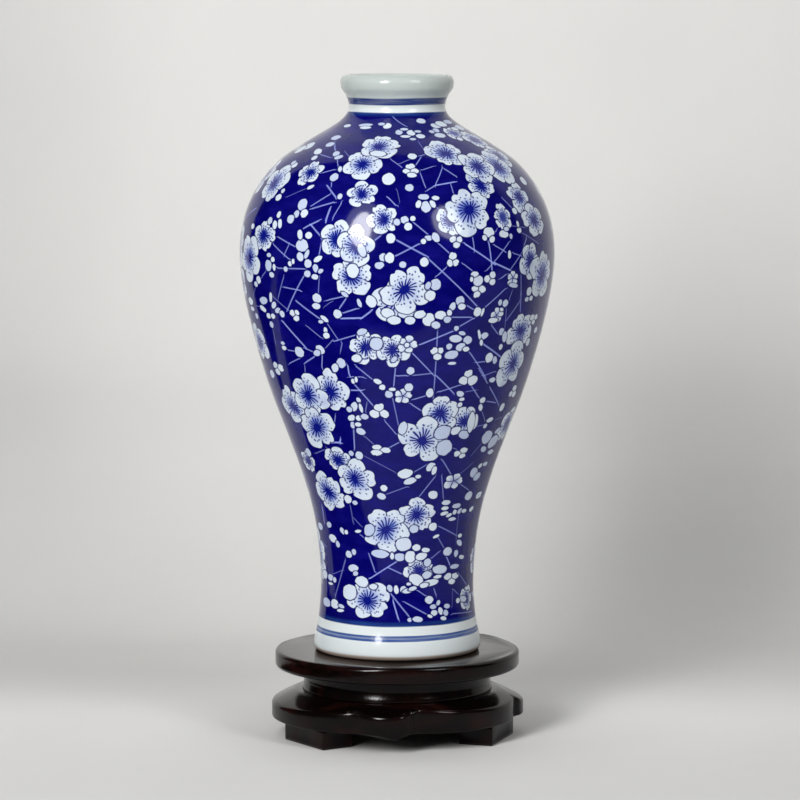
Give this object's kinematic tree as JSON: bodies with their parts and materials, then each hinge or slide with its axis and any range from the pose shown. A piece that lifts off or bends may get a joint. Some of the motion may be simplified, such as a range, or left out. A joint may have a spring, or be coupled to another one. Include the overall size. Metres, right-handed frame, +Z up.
{
  "type": "porcelain vase",
  "caption": "High-shouldered porcelain vase with a small rimmed mouth, narrow foot and blue ground, on a low round wooden stand with a lobed base plate.",
  "frame": {"origin": "on the vase's axis, on the surface the stand's feet rest on", "axes": "+Z up along the vase's axis, -Y towards the front, +X to the viewer's right"},
  "size_m": [0.12, 0.12, 0.2535],
  "materials": {
    "porcelain": "clear glaze over cobalt blue painting",
    "lacquered_wood": "dark brown-black gloss lacquer",
    "screw_steel": "plain steel",
    "dowel_wood": "bare birch"
  },
  "bodies": {
    "stand": {"top_disc": "lacquered_wood", "waist_block": "lacquered_wood", "lobed_plate": "lacquered_wood", "foot_front_left": "lacquered_wood", "foot_right": "lacquered_wood", "foot_back": "lacquered_wood", "waist_screws": "screw_steel", "foot_dowels": "dowel_wood"},
    "vase": {"mouth_and_neck": "porcelain", "shoulder_section": "porcelain", "body_section": "porcelain", "foot_section": "porcelain"}
  },
  "joints": [
    {"name": "vase_lift", "type": "slide", "parent": "stand", "child": "vase", "axis": [0, 0, 1], "range_m": [0, 0.05]}
  ]
}
